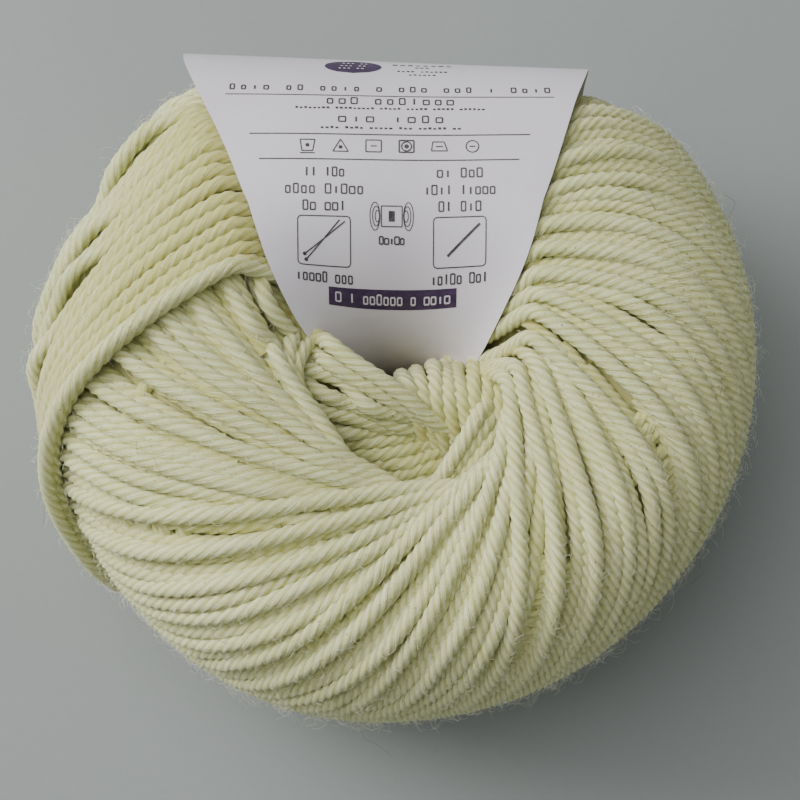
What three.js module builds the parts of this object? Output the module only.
// A pull skein of double-knitting yarn: a squat ball wound round a centre hole, and the paper band
// that is looped through the hole and round the far side of the ball.
// Millimetres, +Z up. The ball lies flat on the surface z = 0, its winding axis upright, and the origin
// is under the middle of its footprint. +Y points to the side that the band goes round.
import * as THREE from "three";

const { degToRad, radToDeg, smoothstep, lerp, clamp } = THREE.MathUtils;

// ---- Driving dimensions -------------------------------------------------------------------------

// The winding axis stands off the middle of the footprint, because the ball is slack on one side.
const WINDING_AXIS = new THREE.Vector2(4.5, -6.4);
const WAIST_HEIGHT = 33; // height of the widest part above the surface
const UNDERSIDE_DEPTH = 36; // how far the round underside would hang below the waist if it were not flattened
const OUTER_ROUNDNESS = 2.35; // superellipse exponent of the ball's side: 2 is round, more is squarer
// The same for the funnel that runs down to the centre hole. Away from the band older wraps cross the
// hole and make the funnel shallow. The angles are degrees of azimuth from the middle of the band.
const INNER_ROUNDNESS = { byTheBand: 1.95, crossed: 3.2, from: 60, to: 95 };

// Seen from above, how far the side reaches from the winding axis, and how high the ball is there.
const OUTLINE = [
  { azimuth: 0, reach: 51.6, crest: 67 },
  { azimuth: 30, reach: 58.2, crest: 67 },
  { azimuth: 60, reach: 64.5, crest: 66 },
  { azimuth: 90, reach: 66.0, crest: 65 },
  { azimuth: 120, reach: 70.0, crest: 66 },
  { azimuth: 150, reach: 63.0, crest: 66 },
  { azimuth: 180, reach: 60.0, crest: 66 },
  { azimuth: 210, reach: 54.2, crest: 66 },
  { azimuth: 240, reach: 49.6, crest: 65 },
  { azimuth: 270, reach: 45.6, crest: 65 },
  { azimuth: 300, reach: 44.8, crest: 66 },
  { azimuth: 330, reach: 46.6, crest: 67 },
];
const BAND_PULL = { reach: 59.6, sharpness: 18 }; // the tight band pulls the far side in to a flat

// The centre hole at its narrowest, an ellipse beside the winding axis.
const THROAT = { x: -3, y: 3, halfWidth: 6.5, halfDepth: 5.5 };

// The main twists: broad ridges that leave the hole on a slant and come back to it underneath.
const RIDGES = 22;
const RIDGE_RELIEF = 1.1;
const HALF_TURN = 180; // a ridge goes this far round the axis between the top of the hole and its foot

// The last wraps lie over all the others as one flat bundle, with a free edge towards the hole. The edge
// is where a tilted plane through the ball's middle leaves the skin.
const LAST_WRAPS = {
  phase: 112, // azimuth at which the free edge comes nearest the axis
  apex: 27, // how near the axis it comes
  rise: 3.0, // height of the step at the free edge
  step: 6, // how far from the edge the bundle reaches its full height
  backRise: 1.2, // what is left of the height at the back of the bundle
  breadth: 34, // from the free edge to the back
  start: -45, // degrees along the edge from the waist at the left side, where the bundle begins
  full: -10,
  fading: 62,
  end: 80, // beside the band
};

// The paper band, waisted where it goes through the hole. Section angle 180 is in the hole, 90 on the
// crest, 0 at the far side and -90 underneath.
const BAND_AZIMUTH = 94.6;
const BAND_THICKNESS = 1.0;
const BAND_GAP = 0.3; // between the band and the yarn
const BAND_WIDTHS = [
  { section: -180, halfAngle: 50 },
  { section: -150, halfAngle: 45 },
  { section: -90, halfAngle: 34 },
  { section: 0, halfAngle: 28.6 },
  { section: 90, halfAngle: 35.5 },
  { section: 135, halfAngle: 44 },
  { section: 180, halfAngle: 50 },
];
const BAND_INSET = BAND_THICKNESS + BAND_GAP; // the yarn gives way by this much under the band
const INSET_MARGIN = 6; // degrees of azimuth beside the band that give way with it
const INSET_SLOPE = 5; // degrees over which the yarn rises again

// Mesh steps.
const COLUMNS_PER_RIDGE = 4;
const SECTION_STEPS = 40;
const BAND_STRIPS = 12;

// ---- The ball's skin ----------------------------------------------------------------------------

const signedPower = (base, exponent) => Math.sign(base) * Math.abs(base) ** exponent;

// A column of a table whose rows are evenly spaced round the axis, joined by a smooth closed curve.
function roundTheAxis(rows, column, azimuth) {
  const place = THREE.MathUtils.euclideanModulo(azimuth, 360) / (360 / rows.length);
  const at = Math.floor(place);
  const [before, from, to, after] = [-1, 0, 1, 2].map(
    (step) => rows[(at + step + rows.length) % rows.length][column],
  );
  const t = place - at;
  const rise = (to - before) / 2;
  const fall = (after - from) / 2;
  return (
    from + t * (rise + t * (3 * (to - from) - 2 * rise - fall + t * (rise + fall - 2 * (to - from))))
  );
}

// A column of a table against its first key, in straight lines between its rows.
function alongTable(rows, key, column, value) {
  const next = rows.findIndex((row) => row[key] >= value);
  if (next <= 0) return rows[next < 0 ? rows.length - 1 : 0][column];
  const [from, to] = [rows[next - 1], rows[next]];
  return lerp(from[column], to[column], (value - from[key]) / (to[key] - from[key]));
}

// How far the side reaches, with the flat that the band pulls into it.
function sideReach(azimuth) {
  const free = roundTheAxis(OUTLINE, "reach", azimuth);
  const facing = Math.sin(degToRad(azimuth));
  if (facing <= 0.05) return free;
  const flat = BAND_PULL.reach / facing;
  const n = BAND_PULL.sharpness;
  return (free ** -n + flat ** -n) ** (-1 / n);
}

// How far the centre hole reaches from the winding axis.
function throatReach(azimuth) {
  const [x, y] = [Math.cos(degToRad(azimuth)), Math.sin(degToRad(azimuth))];
  const { halfWidth: w, halfDepth: d } = THROAT;
  const a = (x / w) ** 2 + (y / d) ** 2;
  const b = (x * THROAT.x) / w ** 2 + (y * THROAT.y) / d ** 2;
  const c = (THROAT.x / w) ** 2 + (THROAT.y / d) ** 2 - 1;
  return (b + Math.sqrt(b * b - a * c)) / a;
}

// Degrees of azimuth from the middle of the band.
function besideBand(azimuth) {
  return Math.abs(THREE.MathUtils.euclideanModulo(azimuth - BAND_AZIMUTH + 180, 360) - 180);
}

// The upright cut through the ball at an azimuth: its middle, half-width, height and funnel.
function cutAt(azimuth) {
  const inner = throatReach(azimuth);
  const outer = sideReach(azimuth);
  const { byTheBand, crossed, from, to } = INNER_ROUNDNESS;
  return {
    middle: (inner + outer) / 2,
    half: (outer - inner) / 2,
    up: roundTheAxis(OUTLINE, "crest", azimuth) - WAIST_HEIGHT,
    funnel: lerp(byTheBand, crossed, smoothstep(besideBand(azimuth), from, to)),
  };
}

// A point on the ball's skin, raised by `lift` square to the cut's outline.
function skin(azimuth, section, lift = 0) {
  const { middle, half, up, funnel } = cutAt(azimuth);
  const angle = degToRad(section);
  const [across, along] = [Math.cos(angle), Math.sin(angle)];
  const upperFunnel = along > 0 ? funnel : INNER_ROUNDNESS.byTheBand;
  const roundness = across < 0 ? upperFunnel : OUTER_ROUNDNESS;
  const rise = along > 0 ? up : UNDERSIDE_DEPTH;
  const point = new THREE.Vector2(
    middle + half * signedPower(across, 2 / roundness),
    WAIST_HEIGHT + rise * signedPower(along, 2 / roundness),
  );
  const outward = new THREE.Vector2(
    signedPower(across, 2 - 2 / roundness) / half,
    signedPower(along, 2 - 2 / roundness) / rise,
  ).normalize();
  if (point.y < 0) {
    point.y = 0;
    outward.set(0, -1);
  }
  point.addScaledVector(outward, lift);
  return aboutAxis(azimuth, point.x, point.y);
}

function aboutAxis(azimuth, radius, height) {
  const angle = degToRad(azimuth);
  return new THREE.Vector3(
    WINDING_AXIS.x + radius * Math.cos(angle),
    WINDING_AXIS.y + radius * Math.sin(angle),
    height,
  );
}

const bandHalfAngle = (section) => alongTable(BAND_WIDTHS, "section", "halfAngle", section);

// 1 under the band, 0 away from it.
function underBand(azimuth, section) {
  const beyond = besideBand(azimuth) - bandHalfAngle(section) - INSET_MARGIN;
  return 1 - smoothstep(beyond, 0, INSET_SLOPE);
}

// How far the last wraps raise the skin at a point of it.
function lastWrapsRise(point) {
  const { phase, apex, rise, step, backRise, breadth, start, full, fading, end } = LAST_WRAPS;
  const turn = degToRad(phase);
  const tilt = Math.atan2(apex, WAIST_HEIGHT);
  const inward = Math.sin(tilt);
  const level = new THREE.Vector3(-Math.sin(turn), Math.cos(turn), 0);
  const uphill = new THREE.Vector3(Math.cos(turn) * inward, Math.sin(turn) * inward, Math.cos(tilt));
  const fromMiddle = point.clone().sub(aboutAxis(0, 0, WAIST_HEIGHT));
  const beyond = fromMiddle.dot(level.clone().cross(uphill));
  const along = radToDeg(Math.atan2(fromMiddle.dot(uphill), fromMiddle.dot(level)));
  const shown = smoothstep(along, start, full) * (1 - smoothstep(along, fading, end));
  return smoothstep(beyond, 0, step) * lerp(rise, backRise, smoothstep(beyond, step, breadth)) * shown;
}

// ---- The wound ball ------------------------------------------------------------------------------

// A grid whose columns run along the ridges and whose rows run round the axis. The last row meets the
// first half a turn further on, as the yarn does.
function ballGeometry() {
  const columns = RIDGES * COLUMNS_PER_RIDGE;
  const shift = (columns * HALF_TURN) / 360;
  const points = [];
  for (let row = 0; row < SECTION_STEPS; row++) {
    const share = row / SECTION_STEPS;
    const section = 180 - 360 * share;
    const upper = smoothstep(Math.min(share, 0.5), 0.06, 0.5);
    const lower = smoothstep(Math.min(1 - share, 0.5), 0.06, 0.5);
    const swirl = (HALF_TURN / 2) * (share <= 0.5 ? upper : 2 - lower);
    for (let column = 0; column < columns; column++) {
      const azimuth = (360 * column) / columns - swirl;
      const pressed = underBand(azimuth, section);
      const wraps = lastWrapsRise(skin(azimuth, section)) * awayFromFoot(section);
      const relief = ridge(column, section) * (1 - wraps / LAST_WRAPS.rise);
      points.push(skin(azimuth, section, (wraps + relief) * (1 - pressed) - BAND_INSET * pressed));
    }
  }
  const at = (row, column) => {
    const turned = row === SECTION_STEPS ? column - shift + columns : column;
    return (row % SECTION_STEPS) * columns + (turned % columns);
  };
  const triangles = [];
  for (let row = 0; row < SECTION_STEPS; row++) {
    for (let column = 0; column < columns; column++) {
      const [a, b] = [at(row, column), at(row, column + 1)];
      const [c, d] = [at(row + 1, column + 1), at(row + 1, column)];
      triangles.push(a, d, c, a, c, b);
    }
  }
  return meshFrom(points, triangles);
}

// Relief of a ridge: a sharp groove between two rounded backs, fading in the hole and on the flat foot.
function ridge(column, section) {
  const across = (column % COLUMNS_PER_RIDGE) / COLUMNS_PER_RIDGE;
  const back = Math.sin(Math.PI * across) - 0.6;
  const awayFromHole = smoothstep(180 - Math.abs(section), 20, 60);
  return RIDGE_RELIEF * back * awayFromHole * awayFromFoot(section);
}

// 0 on the flat foot and 1 on the sides, the crest and in the hole.
function awayFromFoot(section) {
  return clamp(smoothstep(section, -70, -40) + smoothstep(-section, 130, 150), 0, 1);
}

// ---- The paper band ------------------------------------------------------------------------------

// A closed strip over the hole, the crest, the far side and the foot. Its outer face is level with the
// yarn beside it.
function bandGeometry() {
  const points = [];
  const faces = [-BAND_THICKNESS, 0];
  for (let step = 0; step < SECTION_STEPS; step++) {
    const section = 180 - (360 * step) / SECTION_STEPS;
    for (const lift of faces) {
      for (let strip = 0; strip <= BAND_STRIPS; strip++) {
        const side = lerp(-1, 1, strip / BAND_STRIPS);
        points.push(skin(BAND_AZIMUTH + side * bandHalfAngle(section), section, lift));
      }
    }
  }
  const row = BAND_STRIPS + 1;
  const at = (step, face, strip) => ((step % SECTION_STEPS) * 2 + face) * row + strip;
  const triangles = [];
  const quad = (a, b, c, d) => triangles.push(a, b, c, a, c, d);
  for (let step = 0; step < SECTION_STEPS; step++) {
    for (let strip = 0; strip < BAND_STRIPS; strip++) {
      quad(at(step, 1, strip), at(step + 1, 1, strip), at(step + 1, 1, strip + 1), at(step, 1, strip + 1));
      quad(at(step, 0, strip), at(step, 0, strip + 1), at(step + 1, 0, strip + 1), at(step + 1, 0, strip));
    }
    const edge = BAND_STRIPS;
    quad(at(step, 0, 0), at(step + 1, 0, 0), at(step + 1, 1, 0), at(step, 1, 0));
    quad(at(step, 1, edge), at(step + 1, 1, edge), at(step + 1, 0, edge), at(step, 0, edge));
  }
  return meshFrom(points, triangles);
}

// ---- Putting together ----------------------------------------------------------------------------

function meshFrom(points, triangles) {
  const flat = points.flatMap((p) => [p.x, p.y, p.z]);
  const geometry = new THREE.BufferGeometry();
  geometry.setAttribute("position", new THREE.Float32BufferAttribute(flat, 3));
  geometry.setIndex(triangles);
  geometry.computeVertexNormals();
  return geometry;
}

function part(name, geometry, colour, roughness) {
  const material = new THREE.MeshStandardMaterial({ color: colour, roughness, metalness: 0 });
  const mesh = new THREE.Mesh(geometry, material);
  mesh.name = name;
  return mesh;
}

const skein = new THREE.Group();
skein.add(part("yarn_ball", ballGeometry(), "#e3e2b6", 0.85));
skein.add(part("paper_band", bandGeometry(), "#dcd8dc", 0.45));

export default skein;
